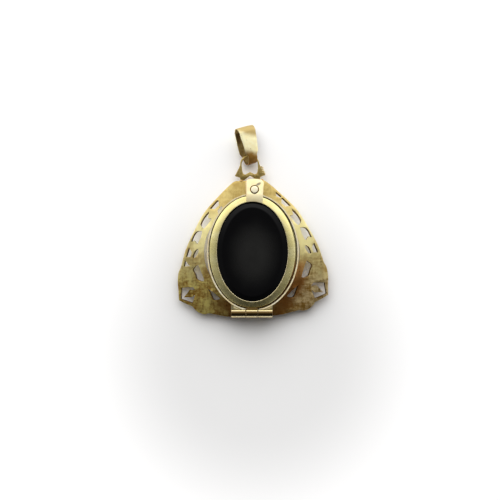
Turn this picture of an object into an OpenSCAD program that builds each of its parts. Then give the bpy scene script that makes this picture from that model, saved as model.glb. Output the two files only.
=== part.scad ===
// Oval picture locket lying face down: its hinged back cover, its catch and its bail are on top.
// Millimetres. +Z is up, away from the front stone. +Y runs from the hinge to the bail.
// The origin is the middle of the front stone's flat face, which the locket lies on.

/* [Case] */
// Width of the oval case, outside its wall
case_w = 17.4; // [14:0.1:22]
// Length of the oval case, outside its wall
case_l = 22.3; // [18:0.1:28]
// Thickness of the case wall
wall_t = 0.27; // [0.2:0.01:0.4]
// Thickness of the case floor
floor_t = 0.2; // [0.15:0.01:0.4]

/* [Front stone] */
// Thickness of the front stone
front_gem_t = 1.2; // [0.9:0.05:2]
// Height of the front stone's table above its bezel
front_gem_stand = 0.12; // [0.05:0.01:0.3]
// Depth that the front stone's bevel falls from its table to the bezel
front_bevel_drop = 0.2; // [0.12:0.01:0.3]
// Width of the front stone's bevel
front_bevel_w = 1.3; // [0.6:0.05:2]

/* [Picture] */
// Thickness of the picture card
card_t = 0.15; // [0.1:0.01:0.3]
// Thickness of the clear sheet over the picture
glass_t = 0.2; // [0.15:0.01:0.4]
// Height of the rim that holds the picture
picture_rim_h = 0.6; // [0.4:0.05:1]
// Width of the rim that holds the picture
picture_rim_w = 0.8; // [0.5:0.05:1.2]

/* [Cover] */
// Width of the cover frame at the sides of its window
band_side_w = 1.36; // [1.1:0.02:1.8]
// Width of the cover frame at the top and bottom of its window
band_end_w = 1.2; // [1.05:0.02:1.6]
// Rise of the frame from its outer to its inner edge
band_rise = 0.45; // [0.2:0.05:0.7]
// Thickness of the frame's lip at its outer edge, above the stone
lip_t = 0.1; // [0.08:0.01:0.2]
// Thickness of the cover stone under the lip
cover_gem_t = 0.55; // [0.4:0.05:0.9]
// Height of the cover stone's table above its girdle
cover_gem_crown = 0.2; // [0.1:0.01:0.25]
// Width of the cover stone's bevel inside the window
cover_bevel_w = 1.05; // [0.6:0.05:1.5]
// Thickness of the ring that holds the cover stone from behind
retainer_t = 0.3; // [0.2:0.05:0.5]
// Gap round the closed cover, inside the case wall
cover_gap = 0.2; // [0.15:0.01:0.3]
// Height of the frame's outer edge above the case rim
cover_stand = 0.25; // [0.15:0.05:0.5]

/* [Hinge] */
// Outer diameter of the hinge knuckles
knuckle_d = 1.6; // [1.3:0.05:1.9]
// Length of each of the two case knuckles
side_knuckle_l = 2.8; // [2.2:0.1:3.4]
// Length of the cover's knuckle
mid_knuckle_l = 2.2; // [1.6:0.1:3]
// Diameter of the hinge pin
pin_d = 0.64; // [0.5:0.02:0.8]
// How far the knuckles are let into the case wall
hinge_inset = 0.28; // [0.15:0.01:0.4]
// Opening angle of the cover, for checking the hinge
cover_open = 0; // [0:5:115]

/* [Catch] */
// Diameter of the catch stud
stud_d = 1.36; // [1:0.02:1.7]
// Width of the catch tab at the cover
tab_root_w = 3; // [2.6:0.1:3.6]
// Width of the catch tab at its free end
tab_end_w = 3.5; // [3:0.1:4]
// Thickness of the catch tab
tab_t = 0.35; // [0.25:0.05:0.5]
// Slope of the tab past the case wall, in degrees
tab_slope = 18; // [10:1:22]

/* [Pierced plate] */
// How far the plate stands out at each side of the case
plate_side = 5.55; // [4.5:0.05:7]
// How far the plate stands out under the hinge
plate_bottom = 1.15; // [1:0.05:1.6]
// How far the plate stands out above the middle of the stud
plate_top = 1.9; // [1.6:0.05:2.4]
// Thickness of the plate
plate_t = 0.45; // [0.35:0.05:0.6]
// Radius that the plate is domed to
dome_r = 80; // [60:5:200]
// Depth of the dome's crown below the case rim
crown_drop = 0.5; // [0.3:0.05:0.8]
// Turn of the plate about the case, anticlockwise, in degrees
plate_turn = 2.1; // [0:0.1:3]

/* [Loop and bail] */
// Radius of the loop's round arch, outside
arch_r = 1.85; // [1.7:0.05:2.1]
// Width of the metal in the arch
arch_w = 0.3; // [0.25:0.01:0.4]
// Thickness of the loop
loop_t = 0.42; // [0.35:0.01:0.5]
// Length of the bail
bail_l = 7.4; // [6.4:0.1:8.6]
// Depth of the bail from front strap to back strap
bail_d = 3; // [2.7:0.05:3.1]
// Width of the bail's strap at its top
bail_top_w = 3.5; // [2.8:0.05:3.6]
// Width of the bail's strap at its foot
bail_foot_w = 1.85; // [1.6:0.05:2]
// Width of the bail's strap where it has cleared the loop
bail_neck_w = 2.75; // [2:0.05:2.8]
// Offset of the bail's head to the right of its foot
bail_offset = 0.25; // [0:0.05:0.4]
// Thickness of the bail's strap
bail_t = 0.28; // [0.22:0.01:0.32]
// Lean of the bail to the left, in degrees
bail_lean = 11.5; // [0:0.5:12.5]
// Twist of the bail about its own length, in degrees
bail_twist = 23.5; // [0:0.5:24]
// Rise of the bail towards its top, in degrees
bail_pitch = 5; // [4:0.5:10]

/* [Hidden] */
$fn = 180;
ring_steps = 72;     // facets round a sloped ring
curve_steps = 5;     // facets between two points of a free curve
gold = [0.83, 0.68, 0.38];
pale_gold = [0.93, 0.84, 0.58];
onyx = [0.02, 0.02, 0.025];

// Ovals, as [half width, half length]
case_oval = [case_w / 2, case_l / 2];
case_bore = case_oval - [wall_t, wall_t];
cover_oval = case_bore - [cover_gap + 0.13, cover_gap];
window_oval = cover_oval - [band_side_w, band_end_w];
cover_shift = [-0.1, 0.05];     // the cover's play towards the catch
fit_gap = 0.03;                 // clearance of stones and loose parts in their seats
gem_ledge = 0.62;               // width of stone under a frame or bezel
front_mouth = window_oval + [0.1, 0.1];
cover_seat = gem_ledge / band_side_w;                           // share of the frame that laps the stone
front_seat = (gem_ledge - 0.1) / (case_oval[0] - front_mouth[0]); // share of the bezel that laps its stone

// Heights, from the table upwards
front_lip_z = front_gem_stand + 0.2;
floor_z = front_gem_t;
card_z = floor_z + floor_t;
glass_z = card_z + card_t;
picture_rim_z = glass_z + glass_t;
lid_gap = 0.55;
cover_z = picture_rim_z + picture_rim_h + lid_gap;
gem_z = cover_z + retainer_t;
lip_z = gem_z + cover_gem_t;
band_outer_z = lip_z + lip_t;
band_inner_z = band_outer_z + band_rise;
rim_z = band_outer_z - cover_stand;
seam_z = 1;                     // joint between the bezel and the case wall
crown_z = rim_z - crown_drop;

// Hinge
knuckle_r = knuckle_d / 2;
hinge_x = -0.2;
hinge_y = -(case_l / 2 + knuckle_r - hinge_inset);
hinge_z = rim_z + 0.1;
turn_gap = 0.08;                // clearance round the turning knuckle
rim_gap = 0.04;                 // clearance of the cover's tongue above the case rim
end_gap = 0.04;                 // clearance at each end of the turning knuckle
pin_gap = 0.05;                 // radial clearance of the pin in the turning knuckle
hinge_l = mid_knuckle_l + 2 * (end_gap + side_knuckle_l);
bearer_w = 0.75;
bearer_rise = 1;

// Catch
stud_x = 0.3;
stud_y = case_l / 2 + stud_d / 2 + 0.02;
stud_gap = 0.18;                // clearance of the tab's hole round the stud
tab_top_z = band_inner_z + 0.17;
tab_bend_y = case_l / 2 - 0.2;
tab_end_y = stud_y + 2.15;
stud_top_z = tab_top_z - (stud_y - tab_bend_y) * tan(tab_slope) + 0.12;

// Plate, drawn at its first size and then fitted to the case
plate_shift = [-0.19, 0.1];
plate_top_y = stud_y + plate_top;
plate_bottom_y = case_l / 2 + plate_bottom;
plate_half_w = case_w / 2 + plate_side;
drawn_half_w = 14.25;
drawn_top = 13.75;
drawn_bottom = 12.3;
side_gap = 0.4;                 // see-through gap between the case and the plate, at each side
side_gap_l = 8.9;               // half length of the oval that opens this gap

// Loop, measured from the plate's top edge
loop_x = 0.2;
loop_z = 1.45;
arch_y = 3.1;
bar_y = arch_y + arch_r - arch_w / 2;
tip = [2.93, 1];

// Bail, in its own frame: u along its length from the foot, d through its depth
bar_u = 1.72;                   // where the loop's bar lies inside the bail
neck_u = bar_u + 0.75;
foot_r = bail_d / 2 - 0.1;
head_r = bail_d / 2;
bail_side = -0.06;              // place of the bail across the arch, from the arch's middle
bail_lift = 0.24;               // height of the bail's middle above the bar's

function mix(a, b, k) = a + (b - a) * k;
function on_oval(oval, t) = [oval[0] * cos(t), oval[1] * sin(t)];

// Smooth open curve through the given points
function smooth(p) = [
    for (i = [0 : len(p) - 2], j = [0 : curve_steps - 1])
        let (k = j / curve_steps, a = p[max(i - 1, 0)], b = p[i], c = p[i + 1], d = p[min(i + 2, len(p) - 1)])
            b + k * (c - a) / 2
                + k * k * (2 * a - 5 * b + 4 * c - d) / 2
                + k * k * k * (3 * b - a - 3 * c + d) / 2
];

// A point of the drawn plate, moved to the size of the real one
function fit_plate(p) = [
    p[0] * plate_half_w / drawn_half_w,
    p[1] > 0 ? p[1] * plate_top_y / drawn_top : p[1] * plate_bottom_y / drawn_bottom
];
function fit_all(points) = [for (p = points) fit_plate(p)];
function mirrored(points) = [for (i = [len(points) - 1 : -1 : 0]) [-points[i][0], points[i][1]]];

// Right half of the plate's outline, from its top edge down to the hinge
shoulder = smooth([
    [2.5, 13.75], [3.3, 13.4], [5.6, 11.3], [8.75, 7.95], [10.8, 4.5], [12.55, 1], [13.6, -2.4]
]);
flare = smooth([[13.65, -2.5], [14.1, -3.4], [14.3, -5], [14.22, -6.8], [14.2, -8.5]]);
leaf_edge = smooth([[14.2, -8.55], [13, -9.25], [11.7, -9.85]]);
lobe = smooth([[11.65, -9.87], [11.15, -10.55], [10.35, -11.15], [9.4, -11.42], [8.5, -11.28]]);
plate_half = concat(shoulder, flare, leaf_edge, lobe, [[8.45, -11.3], [5.5, -12], [3.8, -12.2]]);

// Openings of the right half; the left half mirrors them
openings = [
    [[5.95, 10.05], [6.25, 9.95], [7.6, 8.5], [6.75, 8.45], [5.95, 9.15]],
    [[5.5, 9.05], [6.25, 8.15], [6.15, 7.55], [5.1, 8.5]],
    concat(
        smooth([[7.75, 7.95], [8.7, 6.95], [9.4, 5.7], [9.25, 5.1], [8.8, 4.95], [7.15, 6.9]]),
        [[8.05, 6.85]]),
    concat(
        smooth([[9.25, 4.35], [10.1, 4.3], [10.8, 3.6], [11.4, 2.2]]),
        [[10.75, 2.6], [10.2, 1.85], [9.6, 3.1]]),
    [[11.75, 1.35], [12.4, -0.45], [11.7, -0.5], [11.4, 0.4]],
    smooth([[10.25, 0.95], [10.75, 0.45], [11.1, -0.6], [10.6, -0.45], [10.1, 0.5], [10.25, 0.95]]),
    smooth([
        [10.27, -1.95], [11.15, -2.8], [10.8, -3.8], [10.4, -4.8], [9.3, -5.1], [9.8, -3.3], [10.27, -1.95]]),
    concat(
        [[11.4, -6.2], [13.5, -6.2], [13.7, -8.3], [11.55, -9.15], [11.05, -7.6]],
        [[11.7, -8.1], [13.2, -8.05], [12, -6.65], [10.95, -6.75]]),
    smooth([[8.5, -6.5], [6.9, -8], [6.4, -8.65], [7.4, -8.75], [7.95, -7.8], [8.5, -6.5]])
];
right_only = [[4.9, 11.25], [5.9, 10.35], [5.75, 10.2], [5.05, 10.5]];
left_only = [[-12.62, -1.05], [-12.85, -2.2], [-11.85, -2.25]];

module oval(size) scale(size) circle(r = 1);

module oval_wall(outer, inner, h) linear_extrude(h) difference() { oval(outer); oval(inner); }

// Closed ring swept round an oval. Each corner of the section is [share of the way from inner to outer, z]
module sloped_ring(inner, outer, section) {
    n = len(section);
    points = [
        for (i = [0 : ring_steps - 1], s = section)
            let (p = on_oval(mix(inner, outer, s[0]), i * 360 / ring_steps)) [p[0], p[1], s[1]]
    ];
    faces = [
        for (i = [0 : ring_steps - 1], j = [0 : n - 1])
            let (a = i * n, b = ((i + 1) % ring_steps) * n, k = (j + 1) % n)
                each [[a + j, b + k, b + j], [a + j, a + k, b + k]]
    ];
    polyhedron(points, faces);
}

// Closed disc stacked from oval layers. Each layer is [half width, half length, z], from the bottom up
module stacked_disc(layers) {
    n = len(layers);
    points = [
        for (layer = layers, i = [0 : ring_steps - 1])
            let (p = on_oval(layer, i * 360 / ring_steps)) [p[0], p[1], layer[2]]
    ];
    sides = [
        for (j = [0 : n - 2], i = [0 : ring_steps - 1])
            let (k = (i + 1) % ring_steps, a = j * ring_steps, b = a + ring_steps)
                each [[a + i, b + k, a + k], [a + i, b + i, b + k]]
    ];
    bottom = [[for (i = [0 : ring_steps - 1]) i]];
    top = [[for (i = [ring_steps - 1 : -1 : 0]) (n - 1) * ring_steps + i]];
    polyhedron(points, concat(bottom, sides, top));
}

function layer(oval, grow, z) = [oval[0] + grow, oval[1] + grow, z];

module dome(t) {
    translate([0, 0, crown_z - dome_r]) difference() {
        sphere(r = dome_r, $fn = 360);
        sphere(r = dome_r - t, $fn = 360);
    }
}

module place_plate() translate(plate_shift) rotate(plate_turn) children();

module plate_outline() {
    right = fit_all(plate_half);
    polygon(concat(right, mirrored(right)));
}

module plate_openings() {
    for (side = [0, 1], shape = openings) mirror([side, 0]) polygon(fit_all(shape));
    polygon(fit_all(right_only));
    polygon(fit_all(left_only));
}

module pierced_plate() color(gold)
    intersection() {
        linear_extrude(crown_z) difference() {
            place_plate() plate_outline();
            place_plate() plate_openings();
            oval(case_oval);
            translate(plate_shift) oval([case_oval[0] + side_gap, side_gap_l * case_l / 22.3]);
        }
        dome(plate_t);
    }

function arc(r, a0, a1, step) = [for (a = [a0 : step : a1]) [r * cos(a), r * sin(a)]];
function moved(points, by) = [for (p = points) p + by];

// The loop stands on the plate with two feet; its hole has a round top and a wavy bottom
module loop_outline() {
    arch = moved(arc(arch_r, 0, 180, 6), [0, arch_y]);
    side = [[-2.1, 2.5], [-tip[0], tip[1]], [0.98 - tip[0], 0.65], [-1.85, 0], [-1.4, 0]];
    hole_arch = moved(arc(arch_r - arch_w, 0, 180, 6), [0, arch_y]);
    hole_side = smooth([[-1.5, 2.3], [-1.35, 1.5], [-1, 1.22], [-0.5, 1.4], [0, 1.68]]);
    difference() {
        polygon(concat(arch, side, [[0, 0.95]], mirrored(side)));
        polygon(concat(hole_arch, hole_side, [[0, 1.68]], mirrored(hole_side)));
    }
}

module place_loop() place_plate() translate([loop_x, plate_top_y, 0]) children();

module top_loop() color(gold)
    place_loop() translate([0, 0, loop_z]) linear_extrude(loop_t) loop_outline();

module hinge_rod(r, x0, x1) translate([x0, hinge_y, hinge_z]) rotate([0, 90, 0]) cylinder(r = r, h = x1 - x0);

module hinge_cuts() {
    mid = mid_knuckle_l / 2 + end_gap;
    hinge_rod(knuckle_r, hinge_x - hinge_l / 2, hinge_x + hinge_l / 2);
    hinge_rod(knuckle_r + turn_gap, hinge_x - mid, hinge_x + mid);
}

module case_wall() color(pale_gold)
    difference() {
        translate([0, 0, seam_z]) oval_wall(case_oval, case_bore, rim_z - seam_z);
        hinge_cuts();
    }

module case_floor() color(gold)
    translate([0, 0, floor_z]) linear_extrude(floor_t) oval(case_bore);

module front_bezel() color(gold)
    sloped_ring(front_mouth, case_oval, [
        [0, front_gem_stand], [0.8, front_gem_stand], [1, front_gem_stand + 0.3], [1, seam_z],
        [front_seat, seam_z], [front_seat, front_lip_z], [0, front_lip_z]
    ]);

module front_onyx() color(onyx) {
    girdle = mix(front_mouth, case_oval, front_seat);
    stacked_disc([
        layer(front_mouth, -front_bevel_w, 0),
        layer(front_mouth, -fit_gap, front_bevel_drop),
        layer(front_mouth, -fit_gap, front_lip_z),
        layer(girdle, -fit_gap, front_lip_z),
        layer(girdle, -fit_gap, front_gem_t)
    ]);
}

module hinge_bearer() color(gold)
    difference() {
        translate([hinge_x - hinge_l / 2, -(case_l / 2 + bearer_w), crown_z - plate_t - bearer_rise])
            cube([hinge_l, bearer_w + 1.6, hinge_z + bearer_rise - crown_z + plate_t]);
        linear_extrude(rim_z + 1) oval(case_oval);
        translate([0, 0, crown_z - dome_r]) sphere(r = dome_r, $fn = 360);
        hinge_cuts();
        translate([hinge_x - hinge_l, hinge_y - knuckle_d, hinge_z - knuckle_r * 0.5])
            cube([2 * hinge_l, 2 * knuckle_d, knuckle_d]);
    }

module knuckle(x0, length, bore_r)
    difference() {
        hinge_rod(knuckle_r, x0, x0 + length);
        hinge_rod(bore_r, x0 - 1, x0 + length + 1);
    }

module left_knuckle() color(pale_gold)
    knuckle(hinge_x - hinge_l / 2, side_knuckle_l, pin_d / 2);

module right_knuckle() color(pale_gold)
    knuckle(hinge_x + hinge_l / 2 - side_knuckle_l, side_knuckle_l, pin_d / 2);

module hinge_pin() color(pale_gold) hinge_rod(pin_d / 2, hinge_x - hinge_l / 2, hinge_x + hinge_l / 2);

module catch_stud() color(pale_gold)
    difference() {
        translate([stud_x, stud_y, 0]) union() {
            cylinder(d = stud_d, h = stud_top_z - stud_d * 0.2);
            intersection() {
                cylinder(d = stud_d, h = stud_top_z);
                translate([0, 0, stud_top_z - stud_d * 0.75]) sphere(d = stud_d * 1.5);
            }
        }
        translate([0, 0, crown_z - dome_r]) sphere(r = dome_r, $fn = 360);
    }

module picture_card() color("wheat")
    translate([0, 0, card_z]) linear_extrude(card_t) oval(case_bore - [fit_gap, fit_gap]);

module picture_glass() color([0.8, 0.9, 0.95, 0.4])
    translate([0, 0, glass_z]) linear_extrude(glass_t) oval(case_bore - [fit_gap, fit_gap]);

module picture_rim() color(gold) {
    outer = case_bore - [fit_gap, fit_gap];
    translate([0, 0, picture_rim_z])
        oval_wall(outer, outer - [picture_rim_w, picture_rim_w], picture_rim_h);
}

// Turns the cover's pieces about the hinge pin
module swung()
    translate([0, hinge_y, hinge_z]) rotate([cover_open, 0, 0]) translate([0, -hinge_y, -hinge_z]) children();

// The sloped band, its window wall, the lip over the stone and the skirt round it
module cover_frame_ring() {
    translate(cover_shift) sloped_ring(window_oval, cover_oval, [
        [0, band_inner_z], [0, lip_z], [cover_seat, lip_z], [cover_seat, cover_z], [1, cover_z],
        [1, band_outer_z - 0.05], [0.96, band_outer_z], [0.05, band_inner_z]
    ]);
}

module cover_frame() color(pale_gold)
    swung() difference() {
        cover_frame_ring();
        hinge_rod(knuckle_r + turn_gap, hinge_x - case_w / 2, hinge_x + case_w / 2);
    }

module cover_onyx() color(onyx) {
    girdle = mix(window_oval, cover_oval, cover_seat);
    swung() translate(cover_shift) stacked_disc([
        layer(girdle, -fit_gap, gem_z),
        layer(girdle, -fit_gap, lip_z),
        layer(window_oval, -fit_gap, lip_z),
        layer(window_oval, -cover_bevel_w, lip_z + cover_gem_crown)
    ]);
}

module cover_retainer() color(gold) {
    outer = mix(window_oval, cover_oval, cover_seat) - [fit_gap, fit_gap];
    swung() translate([cover_shift[0], cover_shift[1], cover_z])
        oval_wall(outer, outer - [1.4, 1.4], retainer_t);
}

module cover_knuckle() color(pale_gold) {
    x0 = hinge_x - mid_knuckle_l / 2;
    tongue_h = band_outer_z - rim_z - rim_gap;
    swung() difference() {
        union() {
            hinge_rod(knuckle_r, x0, x0 + mid_knuckle_l);
            translate([x0, hinge_y, rim_z + rim_gap])
                cube([mid_knuckle_l, knuckle_r + hinge_inset + cover_gap + wall_t + 0.5, tongue_h]);
        }
        hinge_rod(pin_d / 2 + pin_gap, x0 - 1, x0 + mid_knuckle_l + 1);
        cover_plug();
    }
}

// Everything inside the frame's outer edge, as a plug for trimming what is soldered to the frame
module cover_plug() {
    translate([cover_shift[0], cover_shift[1], cover_z - 1])
        linear_extrude(band_outer_z - cover_z + 1.2) oval(cover_oval);
}

module catch_tab() color(pale_gold) {
    root_y = window_oval[1] + cover_shift[1];
    edge_y = cover_oval[1] + cover_shift[1];
    drop = (tab_end_y - tab_bend_y) * tan(tab_slope);
    side = [
        [root_y - 1, tab_top_z], [tab_bend_y, tab_top_z], [tab_end_y, tab_top_z - drop],
        [tab_end_y, tab_top_z - drop - tab_t], [tab_bend_y - 0.1, tab_top_z - tab_t],
        [edge_y, tab_top_z - tab_t], [edge_y, band_outer_z + 0.02],
        [root_y + band_end_w * 0.05, band_inner_z], [root_y - 1, band_inner_z]
    ];
    half_root = tab_root_w / 2;
    half_end = tab_end_w / 2;
    swung() difference() {
        intersection() {
            translate([stud_x - tab_end_w, 0, 0])
                rotate([90, 0, 90]) linear_extrude(2 * tab_end_w) polygon(side);
            translate([stud_x, 0, 0]) linear_extrude(tab_top_z + 1) polygon(concat(
                [[-half_root, root_y - 1], [half_root, root_y - 1]],
                smooth([[half_end, tab_end_y - 0.75], [half_end * 0.75, tab_end_y - 0.2], [0, tab_end_y],
                    [-half_end * 0.75, tab_end_y - 0.2], [-half_end, tab_end_y - 0.75]]),
                [[-half_end, tab_end_y - 0.75]]));
        }
        translate([stud_x, stud_y, 0]) cylinder(d = stud_d + 2 * stud_gap, h = tab_top_z + 1);
        translate(cover_shift) linear_extrude(tab_top_z + 1) oval(window_oval);
    }
}

// Side outline of the bail: a long loop, wider at its head than at its foot
module bail_loop(grow) {
    hull() {
        translate([foot_r, 0]) circle(r = foot_r + grow, $fn = 48);
        translate([bail_l * 0.42, 0]) circle(r = head_r + grow, $fn = 48);
        translate([bail_l - head_r * 0.9, 0]) circle(r = head_r * 0.9 + grow, $fn = 48);
    }
}

// How far the strap lies to the right of the foot's middle
function head_shift(u) = bail_offset * max(0, min(1, (u - neck_u + 0.4) / (bail_l - neck_u)));

// Front outline of the bail, narrow where it passes through the loop
module bail_front() {
    side = smooth([
        [bail_foot_w / 2, -0.1], [bail_foot_w / 2, neck_u - 0.9], [bail_neck_w / 2, neck_u],
        [mix(bail_neck_w, bail_top_w, 0.6) / 2, mix(neck_u, bail_l, 0.5)], [bail_top_w / 2, bail_l],
        [bail_top_w / 2, bail_l + 0.5]
    ]);
    polygon([for (p = concat(side, mirrored(side))) [p[0] + head_shift(p[1]), p[1]]]);
}

module bail() color(pale_gold)
    place_loop() translate([0, bar_y, loop_z + loop_t / 2])
        rotate([0, 0, bail_lean]) rotate([bail_pitch, 0, 0]) rotate([0, bail_twist, 0])
            translate([bail_side, -bar_u, bail_lift])
                intersection() {
                    rotate([90, 0, 90]) linear_extrude(bail_top_w + 1, center = true)
                        difference() { bail_loop(0); bail_loop(-bail_t); }
                    translate([0, 0, -bail_d]) linear_extrude(2 * bail_d) bail_front();
                }

pierced_plate();
top_loop();
case_wall();
case_floor();
front_bezel();
front_onyx();
hinge_bearer();
left_knuckle();
right_knuckle();
hinge_pin();
catch_stud();
picture_card();
picture_glass();
picture_rim();
cover_frame();
cover_onyx();
cover_retainer();
cover_knuckle();
catch_tab();
bail();
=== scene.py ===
import math
import random

import bmesh
import bpy
from mathutils import Matrix, Vector


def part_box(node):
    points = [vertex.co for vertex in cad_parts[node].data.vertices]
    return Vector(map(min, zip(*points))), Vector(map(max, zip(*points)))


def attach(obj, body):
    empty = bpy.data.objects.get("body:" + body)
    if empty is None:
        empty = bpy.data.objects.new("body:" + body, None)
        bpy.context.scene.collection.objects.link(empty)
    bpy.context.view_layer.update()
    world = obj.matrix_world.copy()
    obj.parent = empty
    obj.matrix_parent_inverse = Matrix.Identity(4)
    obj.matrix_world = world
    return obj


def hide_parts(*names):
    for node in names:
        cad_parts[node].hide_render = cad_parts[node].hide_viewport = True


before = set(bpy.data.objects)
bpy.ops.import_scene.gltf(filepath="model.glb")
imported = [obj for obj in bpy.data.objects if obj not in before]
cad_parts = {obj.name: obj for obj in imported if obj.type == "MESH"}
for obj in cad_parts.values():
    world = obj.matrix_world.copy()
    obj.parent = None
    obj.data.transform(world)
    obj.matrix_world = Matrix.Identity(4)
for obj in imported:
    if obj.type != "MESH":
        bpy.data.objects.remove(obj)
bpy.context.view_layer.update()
mm = 0.001
scene = bpy.context.scene
print("locket: frame loaded")

# camera and light

view = {
    "target": (-0.555, 0.41, 3.4),   # point of the locket in the middle of the picture, in mm
    "tilt": 5.0,                     # degrees from straight above, towards the hinge
    "distance": 350.0,
    "width": 94.7,                   # what the picture takes in at that distance
    "sensor": 36.0,
    "nearest": 0.01,                 # clipping, in metres
    "farthest": 10,
    "exposure": 0.0,
}


def setCamera():
    data = bpy.data.cameras.new("lookDown")
    camera = bpy.data.objects.new("lookDown", data)
    scene.collection.objects.link(camera)
    tilt = math.radians(view["tilt"])
    back = Vector((0, -math.sin(tilt), math.cos(tilt)))
    camera.location = (Vector(view["target"]) + back * view["distance"]) * mm
    camera.rotation_euler = (tilt, 0, 0)
    data.sensor_width = view["sensor"]
    data.lens = view["sensor"] * view["distance"] / view["width"]
    data.clip_start = view["nearest"]
    data.clip_end = view["farthest"]
    scene.camera = camera
    scene.view_settings.view_transform = "Standard"
    scene.view_settings.look = "None"
    scene.view_settings.exposure = view["exposure"]


setCamera()


# shader maths: one class wraps a socket, one function adds any other node

class Flow:
    def __init__(self, tree, link):
        self.tree = tree
        self.link = link

    def maths(self, operation, *values):
        return addNode(self.tree, "ShaderNodeMath", {"operation": operation}, list(values))

    def size(self):
        return self.maths("ABSOLUTE", self)

    def __add__(self, other):
        return self.maths("ADD", self, other)

    def __radd__(self, other):
        return self.maths("ADD", other, self)

    def __sub__(self, other):
        return self.maths("SUBTRACT", self, other)

    def __rsub__(self, other):
        return self.maths("SUBTRACT", other, self)

    def __mul__(self, other):
        return self.maths("MULTIPLY", self, other)

    def __truediv__(self, other):
        return self.maths("DIVIDE", self, other)

    def __pow__(self, other):
        return self.maths("POWER", self, other)

    def __neg__(self):
        return self.maths("MULTIPLY", self, -1)

    def atMost(self, other):
        return self.maths("MINIMUM", self, other)

    def atLeast(self, other):
        return self.maths("MAXIMUM", self, other)

    def clipped(self):
        return self.atLeast(0).atMost(1)

    def ramp(self, low, high, toLow=0.0, toHigh=1.0):
        return addNode(self.tree, "ShaderNodeMapRange", {"interpolation_type": "SMOOTHSTEP"},
                       {"Value": self, "From Min": low, "From Max": high,
                        "To Min": toLow, "To Max": toHigh})

    def blend(self, first, second):
        return addNode(self.tree, "ShaderNodeMix", {"data_type": "RGBA"},
                       {0: self, 6: first, 7: second}, 2)


def addNode(tree, kind, settings=None, values=None, output=0):
    node = tree.nodes.new(kind)
    for key, value in (settings or {}).items():
        if key == "stops":
            stops = node.color_ramp.elements
            while len(stops) < len(value):
                stops.new(0.5)
            for stop, (place, colour) in zip(stops, value):
                stop.position = place
                stop.color = colour if len(colour) == 4 else (*colour, 1)
        else:
            setattr(node, key, value)
    pairs = values.items() if isinstance(values, dict) else enumerate(values or [])
    for key, value in pairs:
        socket = node.inputs[key]
        if isinstance(value, Flow):
            tree.links.new(value.link, socket)
        elif socket.type == "RGBA" and len(value) == 3:
            socket.default_value = (*value, 1)
        else:
            socket.default_value = value
    return Flow(tree, node.outputs[output])


def splitParts(tree, flow):
    parts = tree.nodes.new("ShaderNodeSeparateXYZ")
    tree.links.new(flow.link, parts.inputs[0])
    return [Flow(tree, parts.outputs[i]) for i in range(3)]


def newMaterial(name, **constants):
    material = bpy.data.materials.new(name)
    material.use_nodes = True
    tree = material.node_tree
    shader = tree.nodes["Principled BSDF"]
    for key, value in constants.items():
        socket = shader.inputs[key.replace("_", " ")]
        socket.default_value = (*value, 1) if socket.type == "RGBA" and len(value) == 3 else value
    return material, tree, shader


def place(tree, scale=(1, 1, 1), turn=(0, 0, 0), at=(0, 0, 0)):
    spot = addNode(tree, "ShaderNodeTexCoord", output=3)   # Object
    return addNode(tree, "ShaderNodeMapping", None,
                   {"Vector": spot, "Location": at, "Rotation": turn, "Scale": scale})


def grain(tree, size, scale=(1, 1, 1), turn=(0, 0, 0), detail=3, roughness=0.5):
    return addNode(tree, "ShaderNodeTexNoise", None,
                   {"Vector": place(tree, scale, turn), "Scale": 1 / (size * mm), "Detail": detail,
                    "Roughness": roughness})


def feed(tree, shader, **flows):
    for key, flow in flows.items():
        tree.links.new(flow.link, shader.inputs[key.replace("_", " ")])


def bump(tree, height, strength, depth):
    return addNode(tree, "ShaderNodeBump", None,
                   {"Strength": strength, "Distance": depth * mm, "Height": height})


sky = {
    "overhead": 0.15,
    "north": 1.0, "northFrom": 0.09, "northTo": 0.56,       # towards the bail
    "side": 0.30, "sideFrom": 0.2, "sideTo": 0.8,
    "low": 0.55, "lowFrom": 0.5, "lowTo": 0.1,               # near the horizon
    "southFrom": 0.02, "southTo": 0.36, "southLeft": 0.35,   # towards the hinge
}


def makeSky():
    world = bpy.data.worlds.new("softRoom")
    scene.world = world
    world.use_nodes = True
    tree = world.node_tree
    spot = addNode(tree, "ShaderNodeTexCoord", output=0)
    east, north, up = splitParts(tree, spot)
    light = (sky["overhead"] + north.ramp(sky["northFrom"], sky["northTo"], 0, sky["north"])
             + east.size().ramp(sky["sideFrom"], sky["sideTo"], 0, sky["side"])
             + up.ramp(sky["lowTo"], sky["lowFrom"], sky["low"], 0))
    south = (-north).ramp(sky["southFrom"], sky["southTo"], 1, sky["southLeft"])
    back = tree.nodes["Background"]
    tree.links.new((light * south).link, back.inputs["Strength"])
    back.inputs["Color"].default_value = (1, 0.99, 0.975, 1)


makeSky()


daylight = {"strength": 2.3, "spread": 75.0, "north": 38.0, "east": -6.0}   # angles in degrees


def addDaylight():
    data = bpy.data.lights.new("softDaylight", "SUN")
    data.energy = daylight["strength"]
    data.angle = math.radians(daylight["spread"])
    lamp = bpy.data.objects.new("softDaylight", data)
    scene.collection.objects.link(lamp)
    lamp.rotation_euler = (math.radians(-daylight["north"]), math.radians(daylight["east"]), 0)
    lamp.visible_glossy = False


addDaylight()


floorLook = {
    "size": 3.0,          # in metres
    "paper": 0.97,
    "blue": 1.004,
    "paintedShadows": (           # soft round painted shadows: middle, inner and outer radius in mm, brightness inside
        ((0.8, -20.0), 13.0, 37.0, 0.75),
        ((-1.0, 5.0), 12.0, 27.0, 0.93),
    ),
}


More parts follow.
